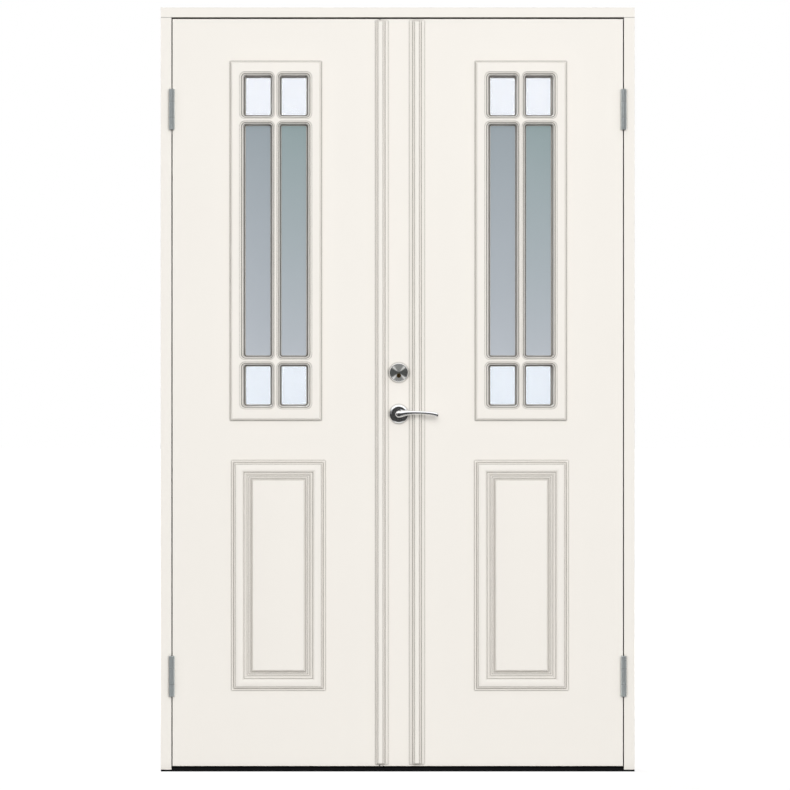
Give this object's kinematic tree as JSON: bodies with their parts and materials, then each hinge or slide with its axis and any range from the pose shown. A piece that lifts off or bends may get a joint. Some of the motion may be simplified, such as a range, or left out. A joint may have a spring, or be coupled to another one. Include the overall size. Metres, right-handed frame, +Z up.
{
  "type": "double exterior door",
  "caption": "Outward opening double exterior door in its frame, with glazed raised cassettes, moulded lower panels, cover strips, a lever lock and flush bolts.",
  "frame": {"origin": "middle of the underside of the sill, at half the frame's width and half its depth", "axes": "+X to the right seen from outdoors, +Y indoors, +Z up; the outdoor face looks to -Y"},
  "size_m": [1.29, 0.181, 2.08],
  "materials": {
    "painted_timber": "satin warm white paint on timber",
    "painted_skin": "satin warm white paint on fibreboard",
    "painted_moulding": "satin warm white paint",
    "bare_timber": "white painted edges of the leaf's timber",
    "insulation": "rigid foam",
    "dark_threshold": "black anodised",
    "gasket": "matt black rubber",
    "steel": "satin steel",
    "hinge_steel": "zinc plated, satin",
    "chrome": "polished chrome",
    "cylinder_steel": "turned face",
    "plug_brass": "dark brass",
    "clear_glass": "clear",
    "frosted_glass": "frosted grey blue",
    "spacer_aluminium": "mill"
  },
  "bodies": {
    "frame": {"left_jamb": "painted_timber", "right_jamb": "painted_timber", "frame_head": "painted_timber", "threshold": "dark_threshold", "base_strip": "dark_threshold", "frame_gasket": "gasket", "fixing_sleeves": "steel", "frame_hinge_halves": "hinge_steel", "hinge_pins": "hinge_steel", "frame_hinge_screws": "steel", "bolt_keepers": "steel"},
    "active_leaf": {"active_outer_skin": "painted_skin", "active_inner_skin": "painted_skin", "active_hinge_stile": "bare_timber", "active_rails": "bare_timber", "active_core": "insulation", "active_outer_cassette": "painted_moulding", "active_inner_cassette": "painted_moulding", "active_clear_panes": "clear_glass", "active_frosted_panes": "frosted_glass", "active_glass_spacers": "spacer_aluminium", "active_panel_moulding": "painted_moulding", "active_panel_field": "painted_moulding", "active_hinge_halves": "hinge_steel", "active_screws": "steel", "active_lock_stile": "bare_timber", "meeting_cover_strip": "painted_moulding", "second_cover_strip": "painted_moulding", "lock_case": "steel", "lock_forend": "steel", "roses": "chrome", "cylinder_ring": "chrome", "outer_cylinder": "cylinder_steel"},
    "passive_leaf": {"passive_outer_skin": "painted_skin", "passive_inner_skin": "painted_skin", "passive_hinge_stile": "bare_timber", "passive_rails": "bare_timber", "passive_core": "insulation", "passive_outer_cassette": "painted_moulding", "passive_inner_cassette": "painted_moulding", "passive_clear_panes": "clear_glass", "passive_frosted_panes": "frosted_glass", "passive_glass_spacers": "spacer_aluminium", "passive_panel_moulding": "painted_moulding", "passive_panel_field": "painted_moulding", "passive_hinge_halves": "hinge_steel", "passive_screws": "steel", "passive_meeting_stile": "bare_timber", "strike_plate": "steel", "flush_bolt_plates": "steel", "meeting_gasket": "gasket"},
    "lever_handle": {"outer_lever": "chrome", "inner_lever": "chrome", "spindle": "steel"},
    "latch": {"latch_bolt": "steel"},
    "thumbturn_knob": {"thumbturn": "chrome"},
    "dead_bolt_slide_body": {"dead_bolt": "steel"},
    "cylinder_plug": {"key_plug": "plug_brass"},
    "upper_bolt": {"top_flush_bolt": "steel"},
    "lower_bolt": {"bottom_flush_bolt": "steel"}
  },
  "joints": [
    {"name": "active_leaf_swing", "type": "hinge", "parent": "frame", "child": "active_leaf", "pos_m": [0.6145, -0.0615, 1], "axis": [0, 0, 1], "range_deg": [0, 105]},
    {"name": "passive_leaf_swing", "type": "hinge", "parent": "frame", "child": "passive_leaf", "pos_m": [-0.6145, -0.0615, 1], "axis": [0, 0, -1], "range_deg": [0, 105]},
    {"name": "lever_turn", "type": "hinge", "parent": "active_leaf", "child": "lever_handle", "pos_m": [0.003, -0.0525, 0.973], "axis": [0, 1, 0], "range_deg": [0, 40], "stiffness_Nm_per_rad": 1, "springref_deg": -14.32},
    {"name": "latch_slide", "type": "slide", "parent": "active_leaf", "child": "latch", "axis": [1, 0, 0], "range_m": [0, 0.01201]},
    {"name": "thumbturn_turn", "type": "hinge", "parent": "active_leaf", "child": "thumbturn_knob", "pos_m": [0.003, 0.0095, 1.078], "axis": [0, 1, 0], "range_deg": [0, 90.05]},
    {"name": "dead_bolt_slide", "type": "slide", "parent": "active_leaf", "child": "dead_bolt_slide_body", "axis": [-1, 0, 0], "range_m": [0, 0.02]},
    {"name": "key_turn", "type": "hinge", "parent": "active_leaf", "child": "cylinder_plug", "pos_m": [0.003, -0.0525, 1.078], "axis": [0, 1, 0], "range_deg": [0, 90.05]},
    {"name": "upper_bolt_slide", "type": "slide", "parent": "passive_leaf", "child": "upper_bolt", "axis": [0, 0, 1], "range_m": [0, 0.018]},
    {"name": "lower_bolt_slide", "type": "slide", "parent": "passive_leaf", "child": "lower_bolt", "axis": [0, 0, -1], "range_m": [0, 0.014]}
  ],
  "couplings": [
    {"joint": "latch_slide", "follows": "lever_turn", "m_per_rad": 0.017189},
    {"joint": "thumbturn_turn", "follows": "dead_bolt_slide", "rad_per_m": 78.54},
    {"joint": "key_turn", "follows": "dead_bolt_slide", "rad_per_m": 78.54}
  ]
}
